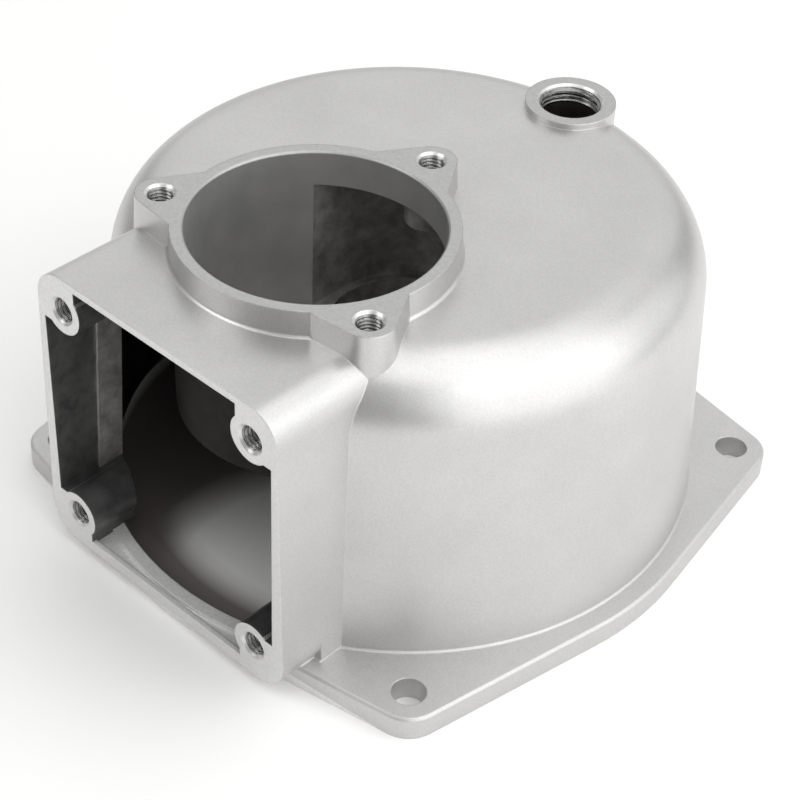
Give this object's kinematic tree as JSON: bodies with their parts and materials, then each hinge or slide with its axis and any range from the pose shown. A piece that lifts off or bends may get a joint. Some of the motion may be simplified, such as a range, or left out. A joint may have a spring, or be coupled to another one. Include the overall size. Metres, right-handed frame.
{
  "type": "centrifugal pump housing",
  "caption": "Die-cast pump casing: drum on a bolted back flange, round suction inlet with lugs on top, square discharge opening on the side and a filler boss.",
  "frame": {"origin": "on the drum's axis at the back face of the bolted flange", "axes": "+Z along the drum's axis towards the suction ring, -Y out of the square discharge opening"},
  "size_m": [0.2134, 0.2148, 0.1204],
  "materials": {
    "cast_aluminium": "shot-blasted casting with machined faces"
  },
  "bodies": {
    "root": {"pump_housing": "cast_aluminium"}
  },
  "joints": []
}
